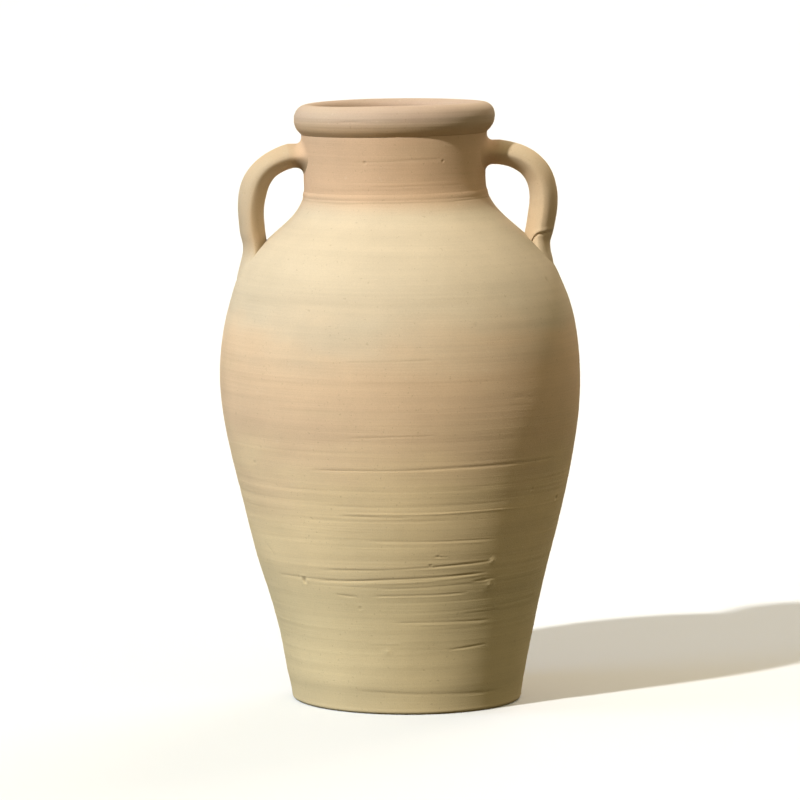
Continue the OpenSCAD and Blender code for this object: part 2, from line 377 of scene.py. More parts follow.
class Relief:
    """How far the outer and inner surfaces stand off the turned form, in metres."""

    def __init__(self, form):
        s = shape()
        self.form = form
        self.round_err = Wander(s.seed, (2, 4), (0.35, 0.9))
        self.tilt = Wander(s.seed + 1, (1, 2), (0.10, 0.30))
        self.strength = Wander(s.seed + 2, (1, 3), (0.05, 0.16))
        self.dents = Wander(s.seed + 3, (4, 11), (0.05, 0.14), 14)
        rng = np.random.default_rng(s.seed + 4)
        spacing = np.geomspace(s.line_pitch, s.line_pitch * 0.17, 9)
        self.lines = [(2 * math.pi / (p * rng.uniform(0.9, 1.1)), rng.uniform(0, 2 * math.pi), p / spacing[0])
                      for p in spacing]
        self.fullness = smooth_line(FULLNESS)
        grooves, pits = back_marks(s.seed + 5)
        self.grooves = list(GROOVES) + grooves
        self.pits = list(PITS) + pits

    def throwing(self, turn, z):
        """Rings left by the fingers: strong low on the body, faint on the shoulder."""
        tilted = z + self.tilt(turn, z) * 1.3 * MM
        total = sum(np.sin(k * tilted + p) * share ** 0.7 for k, p, share in self.lines) / 2.2
        low_wall = smooth_step(10 * MM, 50 * MM, z) * smooth_step(300 * MM, 180 * MM, z)
        shoulder, neck = smooth_step(360 * MM, 420 * MM, z), smooth_step(495 * MM, 520 * MM, z)
        zone = 0.45 + low_wall - 0.30 * shoulder + 0.55 * neck
        return total * zone * (1 + 0.55 * self.strength(turn, z))

    def groove(self, g, turn, z):
        """How deep one groove runs, with a slight wave and softly fading ends."""
        middle, half = math.radians((g.start + g.end) / 2), math.radians((g.end - g.start) / 2)
        along = turn_from(turn, middle) / half
        wave = 0.5 * np.sin(5 * turn + g.height) + 0.3 * np.sin(11 * turn + 2 * g.height)
        off = z / MM - g.height - along * g.rise / 2 - wave * 0.5
        near = np.exp(-(off / (0.8 * g.width)) ** 2)
        whole_turn = g.end - g.start > 350
        fade = 1.0 if whole_turn else smooth_step(1.0, 0.72, np.abs(along))
        return 0.58 * g.depth * MM * near * fade * (1 + 0.22 * np.sin(9 * turn + g.height * 0.7))

    def pit(self, p, turn, z):
        """How deep one pit goes, less the low ridge pushed up round it."""
        across = turn_from(turn, math.radians(p.turn)) * self.form.out(z) / MM
        gap = np.hypot(across, z / MM - p.height)
        ridge = 0.25 * abs(p.depth) * np.exp(-((gap - 1.7 * p.radius) / (0.6 * p.radius)) ** 2)
        return (p.depth * np.exp(-(gap / p.radius) ** 2) - ridge) * MM

    def scratch(self, c, turn, z):
        """How deep one straight scratch goes, deepest halfway along."""
        radius = self.form.out(z)
        across, up = turn_from(turn, math.radians(c.turn)) * radius / MM, z / MM - c.height
        run = math.radians(c.end_turn - c.turn) * np.mean(radius) / MM
        climb = c.end_height - c.height
        share = np.clip((across * run + up * climb) / (run * run + climb * climb), 0, 1)
        gap = np.hypot(across - share * run, up - share * climb)
        return c.depth * MM * np.exp(-(gap / c.width) ** 2) * np.sin(math.pi * (0.08 + 0.84 * share))

    def marks(self, turn, z):
        """All grooves, pits and scratches. Those that lie well clear of these heights are passed over."""
        total = np.zeros(np.broadcast(turn, z).shape)
        low, high = np.min(z) / MM, np.max(z) / MM
        kinds = ((self.groove, self.grooves, 16), (self.pit, self.pits, 12), (self.scratch, SCRATCHES, 24))
        for depth_of, marks, clear in kinds:
            for mark in marks:
                if low - clear < mark.height < high + clear:
                    total -= depth_of(mark, turn, z)
        return total

    def dust_and_shade(self, turn, z):
        """How dark a groove or pit is made, from 0 to 1, growing with its depth: soil lying in it and painted
        shade.
        """
        return np.clip(-self.marks(turn, z) / (0.8 * MM), 0, 1) ** 0.8

    def aprons(self, turn, z):
        """Clay smeared down the shoulder below each strap."""
        total = 0
        for a in APRONS:
            across = turn_from(turn, a.side * math.pi / 2) * self.form.out(z)
            along = smooth_step(a.low * MM, 438 * MM, z) ** 1.6 * smooth_step(466 * MM, 452 * MM, z)
            total = total + a.thick * MM * along * np.exp(-(across / (a.reach * MM)) ** 2)
        return total

    def hand(self, turn, z):
        """Slow wander of the whole wall, the same outside and inside."""
        uneven = shape().out_of_round * (self.round_err(turn, z) + 0.25 * self.dents(turn, z))
        return uneven + np.interp(z, *self.fullness)

    def outer(self, turn, z):
        """How far the outside stands off the turned form; the foot stays true where it meets the floor."""
        steady = smooth_step(2 * MM, 30 * MM, z)
        return (self.hand(turn, z) * steady + shape().throwing_line * self.throwing(turn, z)
                + self.marks(turn, z) + self.aprons(turn, z))

    def inner(self, turn, z):
        """How far the inside stands off the turned form, with the thrower's spiral up to the rim."""
        s = shape()
        spiral = np.sin(turn - 2 * math.pi * z / (0.8 * s.line_pitch))
        depth = s.inner_line * (0.7 + 0.3 * self.strength(turn, z))
        below_rim = smooth_step(self.form.rim_low, self.form.rim_low - 50 * MM, z)
        return self.hand(turn, z) - depth * spiral * below_rim


@lru_cache(maxsize=None)
def smooth_line(points):
    """A table of heights and a softened line through the points, both in metres."""
    heights, values = np.array(points).T * MM
    grid = np.linspace(0, heights[-1], 300)
    weights = np.hanning(15) / np.hanning(15).sum()
    line = np.convolve(np.pad(np.interp(grid, heights, values), 7, mode="edge"), weights, "valid")
    return grid, line - line[0]


def tilt_at(z):
    """The jar's tilt at height z: none at the foot, the whole lean from 110 mm up."""
    return shape().lean * smooth_step(0.0, 110 * MM, z)


def lean(points):
    """Carries points of the upright jar to the leaning one."""
    x, z = points[..., 0], points[..., 2]
    tilt = tilt_at(z)
    out = points.copy()
    out[..., 0] = np.interp(z, *smooth_line(MIDDLE_LINE)) + x * np.cos(tilt)
    out[..., 2] = z + x * np.sin(tilt)
    return out


def stand_up(x, z):
    """The upright jar's place for a point (x, z) of the leaning one, both in metres."""
    upright_x, upright_z = x, z
    for _ in range(6):
        tilt = float(tilt_at(upright_z))
        upright_x = (x - float(np.interp(upright_z, *smooth_line(MIDDLE_LINE)))) / math.cos(tilt)
        upright_z = z - upright_x * math.sin(tilt)
    return upright_x, upright_z


# ---------------------------------------------------------------- meshes


def band_faces(rows, cols, ring):
    """Four-sided faces between neighbouring rows, each row a closed loop."""
    r, c = np.meshgrid(np.arange(rows if ring else rows - 1), np.arange(cols), indexing="ij")
    up, over = (r + 1) % rows, (c + 1) % cols
    corners = (r * cols + c, r * cols + over, up * cols + over, up * cols + c)
    return np.stack(corners, axis=-1).reshape(-1, 4).tolist()


def cap_faces(row, cols, hub, flip):
    """Three-sided faces from one row to the point at its middle."""
    loop = [row * cols + k for k in range(cols)]
    return [[b, a, hub] if flip else [a, b, hub] for a, b in zip(loop, loop[1:] + loop[:1])]


def mark_sharp(mesh, cols, sharp):
    """Marks the edges that run along the rows in sharp."""
    ends = np.empty(len(mesh.edges) * 2, dtype=int)
    mesh.edges.foreach_get("vertices", ends)
    row_of = ends.reshape(-1, 2) // cols
    keen = (row_of[:, 0] == row_of[:, 1]) & np.isin(row_of[:, 0], list(sharp))
    mesh.edges.foreach_set("use_edge_sharp", keen.tolist())


def grid_mesh(name, grid, ring=False, capped=False, sharp=(), dust_and_shade=None):
    """Mesh over rows of closed loops. ring joins the last row to the first; capped closes both ends.

    The last argument gives how dark each point of the rows is made: soil and painted shade in grooves and
    pits, painted shade where a strap meets the jar, and a flat darkening over the left strap; 0 is none, 1 is
    a full groove's worth.
    """
    rows, cols = grid.shape[:2]
    verts, faces = grid.reshape(-1, 3), band_faces(rows, cols, ring)
    if capped:
        faces += cap_faces(0, cols, len(verts), True) + cap_faces(rows - 1, cols, len(verts) + 1, False)
        verts = np.vstack([verts, grid[0].mean(axis=0), grid[-1].mean(axis=0)])
    mesh = bpy.data.meshes.new(name)
    mesh.from_pydata(verts.tolist(), [], faces)
    mesh.polygons.foreach_set("use_smooth", [True] * len(mesh.polygons))
    if sharp:
        mark_sharp(mesh, cols, sharp)
    amount = np.zeros(len(verts))
    if dust_and_shade is not None:
        amount[:dust_and_shade.size] = dust_and_shade.reshape(-1)
    mesh.attributes.new("dust_and_shade", "FLOAT", "POINT").data.foreach_set("value", amount)
    mesh.update()
    return mesh


def add_piece(name, mesh, material, slot, *nodes):
    """Links a piece in place of its CAD nodes."""
    piece = bpy.data.objects.new(name, mesh)
    bpy.context.scene.collection.objects.link(piece)
    piece.data.materials.append(material)
    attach(piece, BODY)
    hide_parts(*nodes)
    return piece


def turns():
    """Angles round the jar, from the back by the left, the front and the right."""
    return np.linspace(-math.pi, math.pi, AROUND, endpoint=False)


def rows_to_grid(rows):
    """Rows of (radius at each angle, height at each angle) to points round the axis."""
    turn = turns()
    grid = np.empty((len(rows), AROUND, 3))
    for i, (radius, height) in enumerate(rows):
        grid[i, :, 0] = radius * np.sin(turn)
        grid[i, :, 1] = -radius * np.cos(turn)
        grid[i, :, 2] = height
    return grid


def wall_heights(low, high, relief):
    """Row heights from low to high, closer together where a groove runs."""
    marked = np.array([g.height for g in relief.grooves if abs(g.depth) > 0.2]) * MM
    steps, z = [low], low
    while z < high:
        near = np.min(np.abs(marked - z))
        z += 0.85 * MM if near < 4 * MM else 2.0 * MM
        steps.append(z)
    steps = np.array(steps)
    return low + (steps - low) * (high - low) / (steps[-1] - low)


def seam_rows(form, relief, z, from_outside):
    """The V-shaped joint between two thrown rings, across the wall at height z."""
    turn = turns()
    outer, inner = form.out(z), form.inn(z)
    middle, quarter = (outer + inner) / 2, (outer - inner) / 4
    rows = [(middle + quarter, z), (middle, z - SEAM_DEPTH), (middle - quarter, z)]
    if not from_outside:
        rows.reverse()
    drift = relief.hand(turn, np.full(AROUND, z))
    return [(radius + drift, np.full(AROUND, height)) for radius, height in rows]


def outer_row(form, relief, z):
    """Radius and height of the outside at each angle, at height z."""
    turn, height = turns(), np.full(AROUND, z)
    return form.out(z) + relief.outer(turn, height), height


def inner_row(form, relief, z):
    """Radius and height of the inside at each angle, at height z."""
    turn, height = turns(), np.full(AROUND, z)
    return form.inn(z) + relief.inner(turn, height), height


def ring_of_wall(name, low, high, form, relief):
    """A thrown ring of wall: up the outside, over the joint, down the inside, over the joint."""
    heights = wall_heights(low, high, relief)
    outside = [outer_row(form, relief, z) for z in heights]
    inside = [inner_row(form, relief, z) for z in np.arange(high, low - MM, -(high - low) / 26)]
    top = seam_rows(form, relief, high, True)
    bottom = seam_rows(form, relief, low, False)
    rows = outside + top + inside + bottom
    first_in = len(outside) + len(top)
    sharp = (0, len(outside) - 1, first_in, first_in + len(inside) - 1)
    # Soil and painted shade in the grooves and pits, on the outside rows only.
    dust_and_shade = np.zeros((len(rows), AROUND))
    for i, z in enumerate(heights):
        dust_and_shade[i] = relief.dust_and_shade(turns(), np.full(AROUND, z))
    return grid_mesh(name, lean(rows_to_grid(rows)), ring=True, sharp=sharp, dust_and_shade=dust_and_shade)


# ---------------------------------------------------------------- clay


class Tree:
    """Shorthand for building the node tree of a material or a world."""

    def __init__(self, owner):
        owner.use_nodes = True
        self.tree = owner.node_tree
        self.tree.nodes.clear()

    def add(self, kind, **settings):
        node = self.tree.nodes.new(kind)
        for key, value in settings.items():
            setattr(node, key, value)
        return node

    def join(self, out, into):
        self.tree.links.new(out, into)

    def math(self, operation, a, b=None):
        node = self.add("ShaderNodeMath", operation=operation)
        for socket, value in zip(node.inputs, (a, b)):
            if value is None:
                continue
            if isinstance(value, (int, float)):
                socket.default_value = value
            else:
                self.join(value, socket)
        return node.outputs[0]

    def spread(self, value, low, high, to_low=0.0, to_high=1.0):
        node = self.add("ShaderNodeMapRange")
        node.interpolation_type = "SMOOTHSTEP"
        self.join(value, node.inputs["Value"])
        for key, number in (("From Min", low), ("From Max", high), ("To Min", to_low), ("To Max", to_high)):
            node.inputs[key].default_value = number
        return node.outputs["Result"]

    def stretched(self, coords, scale):
        node = self.add("ShaderNodeMapping")
        self.join(coords, node.inputs["Vector"])
        node.inputs["Scale"].default_value = scale
        return node.outputs["Vector"]

    def part(self, coords, axis):
        split = self.add("ShaderNodeSeparateXYZ")
        self.join(coords, split.inputs[0])
        return split.outputs[axis]

    def height(self, coords):
        return self.part(coords, "Z")

    def noise(self, coords, scale=1.0, detail=2.0, rough=0.5):
        node = self.add("ShaderNodeTexNoise")
        self.join(coords, node.inputs["Vector"])
        for key, number in (("Scale", scale), ("Detail", detail), ("Roughness", rough)):
            node.inputs[key].default_value = number
        return node.outputs["Fac"]

    def ramp(self, value, stops):
        node = self.add("ShaderNodeValToRGB")
        node.color_ramp.interpolation = "EASE"
        elements = node.color_ramp.elements
        while len(elements) < len(stops):
            elements.new(0.5)
        for element, (place, tint) in zip(elements, stops):
            element.position = place
            element.color = (*tint, 1.0)
        self.join(value, node.inputs["Fac"])
        return node.outputs["Color"]

    def bump(self, height, strength, distance, over=None):
        node = self.add("ShaderNodeBump")
        node.inputs["Strength"].default_value = strength
        node.inputs["Distance"].default_value = distance
        self.join(height, node.inputs["Height"])
        if over is not None:
            self.join(over, node.inputs["Normal"])
        return node.outputs["Normal"]

    def blend(self, amount, base, top, mode="MIX"):
        node = self.add("ShaderNodeMix", data_type="RGBA", blend_type=mode)
        for key, value in (("Factor", amount), ("A", base), ("B", top)):
            socket = node.inputs[key]
            if isinstance(value, (int, float)):
                socket.default_value = value
            elif isinstance(value, (tuple, list)):
                socket.default_value = (*value, 1.0)
            else:
                self.join(value, socket)
        return node.outputs["Result"]


def fired_clay(name, colour_of, streak=1.0):
    """Matt fired clay. colour_of(tree, coords) gives the base colour; streak is how strongly it is lined."""
    material = bpy.data.materials.new(name)
    t = Tree(material)
    coords = t.add("ShaderNodeTexCoord").outputs["Object"]
    fine = t.noise(t.stretched(coords, (5.0, 5.0, 420.0)), detail=4.0, rough=0.6)
    cloud = t.noise(coords, scale=16.0, detail=4.0, rough=0.6)
    grain = t.noise(coords, scale=900.0, detail=3.0, rough=0.7)
    tint = t.blend(1.0, colour_of(t, coords), unevenness(t, coords, fine, cloud, grain, streak), "MULTIPLY")

    shader = t.add("ShaderNodeBsdfPrincipled")
    t.join(specked(t, coords, tint), shader.inputs["Base Color"])
    t.join(t.spread(cloud, 0.2, 0.8, 0.86, 0.98), shader.inputs["Roughness"])
    shader.inputs["Specular IOR Level"].default_value = 0.25
    lines = t.bump(fine, 0.32 * max(streak, 0.35), 0.5 * MM)
    t.join(t.bump(grain, 0.35, 0.35 * MM, lines), shader.inputs["Normal"])
    t.join(shader.outputs["BSDF"], t.add("ShaderNodeOutputMaterial").inputs["Surface"])
    return material


def unevenness(t, coords, fine, cloud, grain, streak):
    """A grey near 1 that holds the clay's streaks, clouds and grain."""
    broad = t.noise(t.stretched(coords, (3.0, 3.0, 60.0)), detail=3.0)
    parts = (
        t.spread(broad, 0.3, 0.7, -0.034 * streak, 0.034 * streak),
        t.spread(fine, 0.3, 0.7, -0.019 * streak, 0.019 * streak),
        t.spread(cloud, 0.3, 0.7, -0.035, 0.035),
        t.spread(grain, 0.25, 0.75, -0.05, 0.05))
    shade = 1.0
    for part in parts:
        shade = t.math("ADD", part, shade)
    grey = t.add("ShaderNodeCombineColor")
    for socket in grey.inputs:
        t.join(shade, socket)
    return grey.outputs["Color"]


def specked(t, coords, tint):
    """Dark specks, pale flecks, and the darkening that the mesh gives at each point: soil and painted shade
    in grooves and pits, painted shade where the straps meet the jar, and a flat darkening over the left
    strap.
    """
    c = clay()
    specks = t.spread(t.noise(coords, scale=330.0, detail=1.0), 0.70, 0.76)
    tint = t.blend(t.math("MULTIPLY", specks, 0.22), tint, tuple(c.dust_and_shade))
    flecks = t.spread(t.noise(coords, scale=240.0, detail=0.0), 0.22, 0.16)
    tint = t.blend(t.math("MULTIPLY", flecks, 0.10), tint, tuple(c.fleck))
    # Painted shade and soil: the mesh's per-point value darkens the clay towards the dark colour.
    dust_and_shade = t.add("ShaderNodeAttribute", attribute_name="dust_and_shade").outputs["Fac"]
    return t.blend(t.math("MULTIPLY", dust_and_shade, 0.34), tint, tuple(c.dust_and_shade))


def wall_colour(t, coords):
    """Zones of colour up the wall, with uneven edges and patches of pink blush on the belly."""
    c = clay()
    height = t.height(coords)
    warp = t.spread(t.noise(t.stretched(coords, (4.0, 4.0, 14.0)), detail=3.0), 0.3, 0.7, -0.022, 0.022)
    warp = t.math("MULTIPLY", warp, t.spread(height, 0.44, 0.48, 1.0, 0.12))
    level = t.math("DIVIDE", t.math("ADD", height, warp), HEIGHT)
    zones = t.ramp(level, (
        (0.00, c.foot), (0.17, c.foot), (0.36, c.buff), (0.50, c.blush), (0.575, c.blush),
        (0.68, c.cream), (0.815, c.cream), (0.856, c.tan)))
    patch = t.spread(t.noise(t.stretched(coords, (5.0, 5.0, 9.0)), detail=3.0, rough=0.55), 0.45, 0.68)
    belly = t.math("MULTIPLY", t.spread(height, 0.16, 0.24), t.spread(height, 0.44, 0.36))
    rosy = t.math("MULTIPLY", patch, belly)
    zones = t.blend(t.math("MULTIPLY", rosy, 0.5), zones, tuple(c.blush))
    olive = t.spread(t.noise(t.stretched(coords, (7.0, 7.0, 22.0)), detail=2.0), 0.56, 0.72)
    return t.blend(t.math("MULTIPLY", olive, 0.10), zones, tuple(c.olive))


def rim_colour(t, coords):
    """Rose clay with paler patches, browner under the roll."""
    c = clay()
    patch = t.spread(t.noise(t.stretched(coords, (9.0, 9.0, 30.0)), detail=3.0), 0.35, 0.65)
    skin = t.blend(patch, tuple(c.rose), tuple(c.pale_rose))
    under = t.spread(t.height(coords), 0.590, 0.572, 0.0, 0.55)
    return t.blend(under, skin, tuple(c.umber))


def strap_colour(t, coords):
    """Warm strap clay that fades into the wall's colour where each end is worked on to the jar."""
    c = clay()
    patch = t.spread(t.noise(t.stretched(coords, (22.0, 22.0, 12.0)), detail=3.0), 0.38, 0.70)
    pulled = t.blend(t.math("MULTIPLY", patch, 0.6), tuple(c.strap), tuple(c.cream))
    sideways = t.math("ABSOLUTE", t.math("ADD", t.part(coords, "X"), 11 * MM))
    from_neck = t.spread(sideways, 0.092, 0.112)
    from_shoulder = t.spread(t.height(coords), 0.438, 0.470)
    return t.blend(t.math("MULTIPLY", from_neck, from_shoulder), wall_colour(t, coords), pulled)


def material_once(name, colour_of, streak=1.0):
    """The named clay, made the first time that a piece asks for it."""
    return bpy.data.materials.get(name) or fired_clay(name, colour_of, streak)


def wall_clay():
    return material_once("wall_clay", wall_colour)


def rim_clay():
    return material_once("rolled_rim_clay", rim_colour, 0.7)


def strap_clay():
    return material_once("strap_clay", strap_colour, 0.15)


# ---------------------------------------------------------------- straps


Crease = namedtuple("Crease", "out reach low climb")
StrapShading = namedtuple("StrapShading", "held film")

# The thumb's crease on the right strap, in mm: where its bend lies, how far it reaches in from there,
# the height of its inner end and how far it climbs.
THUMB_CREASE = Crease(145.7, 13.0, 456.4, 12.2)

# Painted shade on each strap's jar-facing side close to the wall, where the crease is in shade, and a flat
# darkening over the rest of the strap.
STRAP_SHADING = {-1: StrapShading(2.4, 0.55), 1: StrapShading(0.3, 0.0)}

# The middle of each strap on the finished jar: out from the axis, height and half thickness, in mm.
# The first points lie in the neck and the last ones in the shoulder.
LEFT_PULL = (
    (92, 549.3, 12.8), (104, 548.6, 12.8), (115, 547.0, 12.6), (128.6, 542.2, 12.3), (141.4, 533.6, 12.4),
    (150.0, 522.0, 13.2), (154.3, 509.5, 13.5), (156.2, 497.0, 13.2), (156.2, 484.0, 12.9),
    (155.0, 472.0, 12.7), (152.4, 459.0, 12.2), (151.8, 447.0, 12.9), (154.4, 435.0, 13.2),
    (158.6, 422.0, 12.6), (163.5, 407.0, 9.5))
RIGHT_PULL = (
    (68, 551.6, 12.9), (80, 551.4, 12.8), (91, 550.8, 12.5), (101, 549.1, 12.4), (112.3, 545.4, 12.6),
    (123.5, 538.0, 13.0), (132.0, 526.5, 13.7), (136.2, 512.0, 14.1), (136.7, 499.0, 14.1),
    (135.3, 487.0, 14.1), (133.2, 475.0, 13.8), (130.6, 463.0, 13.2), (131.0, 451.0, 13.4),
    (133.8, 441.0, 13.0), (138.0, 429.0, 11.0), (142.0, 416.0, 8.5))


def curve_through(points, spacing):
    """Evenly spaced points on a smooth curve through the given ones."""
    points = np.asarray(points, dtype=float)
    steps = np.linalg.norm(np.diff(points[:, :2], axis=0), axis=1)
    at = np.concatenate([[0], np.cumsum(steps)])
    slopes = np.gradient(points, at, axis=0)
    where = np.arange(0, at[-1], spacing)
    i = np.clip(np.searchsorted(at, where, side="right") - 1, 0, len(steps) - 1)
    h = steps[i][:, None]
    t = ((where - at[i]) / steps[i])[:, None]
    return ((2 * t ** 3 - 3 * t ** 2 + 1) * points[i] + (t ** 3 - 2 * t ** 2 + t) * h * slopes[i]
            + (3 * t ** 2 - 2 * t ** 3) * points[i + 1] + (t ** 3 - t ** 2) * h * slopes[i + 1])


class Strap:
    """A pulled strap and its two ends, worked out on the upright jar with its outer side at +X."""

    def __init__(self, form, relief, side):
        self.form, self.relief, self.side = form, relief, side
        low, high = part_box("right_handle")
        self.half_broad = (high.y - low.y) / 2
        pull = [(*stand_up(side * x * MM, z * MM), half * MM)
                for x, z, half in (RIGHT_PULL if side > 0 else LEFT_PULL)]
        path = curve_through([(abs(x), z, half) for x, z, half in pull], STRAP_STEP)
        self.x, self.z, self.half = path.T
        along = np.gradient(path[:, :2], axis=0)
        self.along = along / np.linalg.norm(along, axis=1)[:, None]
        self.upper = int(np.argmax(self.x > low.x))
        below = (self.z < low.z) & (np.arange(len(self.z)) > self.upper)
        self.lower = int(np.argmax(below))
        self.angle = np.linspace(0, 2 * math.pi, AROUND_STRAP, endpoint=False)
        self.wave = Wander(shape().seed + (30 if side > 0 else 40), (1, 3), (0.05, 0.12), 7)
        self.grain = Wander(shape().seed + 50, (5, 14), (0.2, 0.6), 12)

    def section(self, i):
        """The soft lozenge at step i, as (out from the jar, across)."""
        c, s = np.cos(self.angle), np.sin(self.angle)
        along = i * STRAP_STEP
        uneven = 0.16 * MM * self.wave(self.angle, along) + 0.045 * MM * self.grain(self.angle, along)
        pressed = smooth_step(self.lower - 4, len(self.x) - 8, i)
        spread = 1 + 0.42 * pressed
        outward = np.sign(c) * np.abs(c) ** 1.22 * (self.half[i] + uneven)
        outward = outward - 0.6 * MM * pressed * (0.5 + 0.5 * np.cos(3 * math.pi * s)) * (c > 0) * c
        across = np.sign(s) * np.abs(s) ** 1.10 * (self.half_broad * spread + uneven)
        return outward, across

    def ring(self, i):
        """Points round the strap at step i."""
        outward, across = self.section(i)
        step_x, step_z = self.along[i]
        bow = 1.2 * MM * math.sin(22 * i * STRAP_STEP)
        return np.stack([self.x[i] - step_z * outward, across + bow, self.z[i] + step_x * outward], axis=-1)

    def painted_shade_and_darkening(self, rings):
        """Painted shade at each point of the rings, close to the wall on the jar-facing side, and a flat
        darkening on the rest.
        """
        gap = np.hypot(rings[..., 0], rings[..., 1]) - self.form.out(rings[..., 2])
        under = smooth_step(0.2, -0.6, np.cos(self.angle))
        near = np.exp(-(gap / (9 * MM)) ** 2)
        strap_shading = STRAP_SHADING[self.side]
        # Painted shade in the crease near the wall, plus the flat darkening away from it.
        return strap_shading.held * near * under + strap_shading.film * (1 - near)

    def mesh(self, name, rings):
        """Presses the lower end on, turns the rings to this side of the jar and makes the mesh."""
        # The per-point darkening here is painted shade near the wall and a flat darkening elsewhere.
        dust_and_shade, grid = self.painted_shade_and_darkening(rings), self.press(rings)
        if self.side < 0:
            grid = lean(grid * np.array([-1, 1, 1]))
        else:
            dust_and_shade, grid = dust_and_shade[::-1], lean(grid[::-1])
        return grid_mesh(name, grid, capped=True, sharp=(0, len(grid) - 1), dust_and_shade=dust_and_shade)

    def strap_rings(self):
        """The strap itself, from its root to its pad."""
        return np.array([self.ring(i) for i in range(self.upper, self.lower + 1)])

    def neck_radius(self, y, z):
        """The neck's own outer radius near the strap, with its hand-made wander."""
        turn = self.side * (math.pi / 2 + np.arcsin(np.clip(y / self.form.out(z), -1, 1)))
        return self.form.out(z) + self.relief.outer(turn, z)

    def root_rings(self):
        """Clay worked round the strap's upper end, sweeping on to the neck."""
        start = self.ring(self.upper)
        c, s = np.cos(self.angle), np.sin(self.angle)
        sweep = np.where(c > 0, 6.0, 6.5) * c ** 2 * MM + 11 * MM * s ** 2
        flat = np.zeros(AROUND_STRAP)
        rings = [start]
        reach = np.hypot(start[:, 0], start[:, 1]) - self.neck_radius(start[:, 1], start[:, 2])
        for share in np.linspace(0, 1, 7)[1:]:
            lift = reach + (np.minimum(sweep, reach) - reach) * share
            rings.append(self.on_neck(start, c, s, lift, flat, share))
        for a in np.linspace(0, math.pi / 2, 16)[1:]:
            lift = np.minimum(sweep, reach) * (1 - math.sin(a))
            rings.append(self.on_neck(start, c, s, lift, sweep * (1 - math.cos(a)), 1.0))
        rings.append(self.on_neck(start, c, s, flat - 1.2 * MM, sweep * 1.06, 1.0))
        return np.array(rings[::-1])

    def on_neck(self, start, c, s, lift, flare, share):
        """The ring moved in to stand off the neck by lift, and spread out by flare."""
        y = start[:, 1] + s * flare
        z = start[:, 2] + c * flare
        x = np.sqrt((self.neck_radius(y, z) + lift) ** 2 - y ** 2)
        flat = start[:, 0] - (start[:, 0].mean() - x.mean())
        return np.stack([flat * (1 - share) + x * share, y, z], axis=-1)

    def pad_rings(self):
        """The strap's lower end, run down into the shoulder and kept inside the wall behind."""
        rings = np.array([self.ring(i) for i in range(self.lower, len(self.x))])
        radius = np.hypot(rings[..., 0], rings[..., 1])
        least = self.form.out(rings[..., 2]) - 9 * MM
        rings[..., :2] *= (np.maximum(radius, least) / radius)[..., None]
        return rings

    def crease(self, grid):
        """Height above the thumb's curved crease on the right strap, in mm, and its reach forwards."""
        x, y, z = grid[..., 0], grid[..., 1], grid[..., 2]
        run = np.clip((THUMB_CREASE.out - x / MM) / THUMB_CREASE.reach, -0.4, 1.4)
        line = THUMB_CREASE.low + THUMB_CREASE.climb * (1 - np.abs(run) ** 3 * np.sign(run))
        return z / MM - line, smooth_step(2 * MM, -10 * MM, y)

    def press(self, grid):
        """Thumb marks where the strap meets the shoulder: a curved lip over a smoothed hollow."""
        if self.side < 0:
            return grid
        off, front = self.crease(grid)
        cut = 1.3 * np.exp(-(off + 0.9) ** 2)
        hollow = 1.4 * smooth_step(0.6, -1.6, off) * smooth_step(-20, -5, off)
        lip = 0.7 * np.exp(-((off - 2.1) / 2.0) ** 2)
        grid = grid.copy()
        grid[..., 1] += (cut + hollow - lip) * MM * front
        return grid


# ---------------------------------------------------------------- operators


class AMPHORA_OT_base_floor(bpy.types.Operator):
    """The floor disc, cut from the wheel with a wire"""

    bl_idname = "amphora.base_floor"
    bl_label = "Floor disc"

    def execute(self, context):
        form, relief = turned_form(), relief_of_jar()
        outside = np.linspace(FOOT_CORNER + 1.2 * MM, form.floor_top, 10)
        rows = self.underside(form, relief) + [outer_row(form, relief, z) for z in outside]
        edge = len(rows) - 1
        rows += seam_rows(form, relief, form.floor_top, True)
        top_start = len(rows)
        rows += self.inside(form)
        mesh = grid_mesh("base_floor", lean(rows_to_grid(rows)), capped=True, sharp=(edge, top_start))
        add_piece("base_floor_disc", mesh, wall_clay(), "lower_clay", "base_floor")
        return {"FINISHED"}

    def underside(self, form, relief):
        """From the middle of the underside out to the foot and round its corner."""
        foot = outer_row(form, relief, FOOT_CORNER)[0] - FOOT_CORNER
        rows = []
        for share in np.linspace(0.02, 0.96, 40):
            radius = np.full(AROUND, foot.mean() * share)
            rows.append((radius, self.wire_cut(radius, turns())))
        for a in np.linspace(0, math.pi / 2, 9):
            rows.append((foot + FOOT_CORNER * math.sin(a), np.full(AROUND, FOOT_CORNER * (1 - math.cos(a)))))
        return rows

    @staticmethod
    def wire_cut(radius, turn):
        """Shell-shaped marks left under the jar by the cutting wire, never below the floor."""
        x, y = radius * np.sin(turn), radius * np.cos(turn)
        arcs = np.sin(np.hypot(x + 160 * MM, y + 50 * MM) * 2 * math.pi / (7 * MM))
        return (0.9 * MM + 0.35 * MM * arcs) * smooth_step(112 * MM, 90 * MM, radius)

    @staticmethod
    def inside(form):
        """The floor's top, with the spiral that ends at the middle."""
        rows = []
        for share in np.linspace(1.0, 0.02, 48):
            radius = np.full(AROUND, form.inn(form.floor_top) * share)
            spiral = np.sin(turns() - 2 * math.pi * radius / (15 * MM))
            lift = shape().inner_line * spiral * smooth_step(0.02, 0.2, share)
            rows.append((radius, form.floor_top + lift * smooth_step(1.0, 0.96, share)))
        return rows


class AMPHORA_OT_thrown_walls(bpy.types.Operator):
    """The four thrown rings of wall, from the floor to the foot of the neck"""

    bl_idname = "amphora.thrown_walls"
    bl_label = "Thrown walls"

    def execute(self, context):
        form, relief = turned_form(), relief_of_jar()
        low = form.floor_top
        for name in WALLS:
            high = form.seams[name]
            slot = "lower_clay" if name in WALLS[:2] else "upper_clay"
            mesh = ring_of_wall(name, low, high, form, relief)
            add_piece(name + "_thrown", mesh, wall_clay(), slot, name)
            low = high
        return {"FINISHED"}


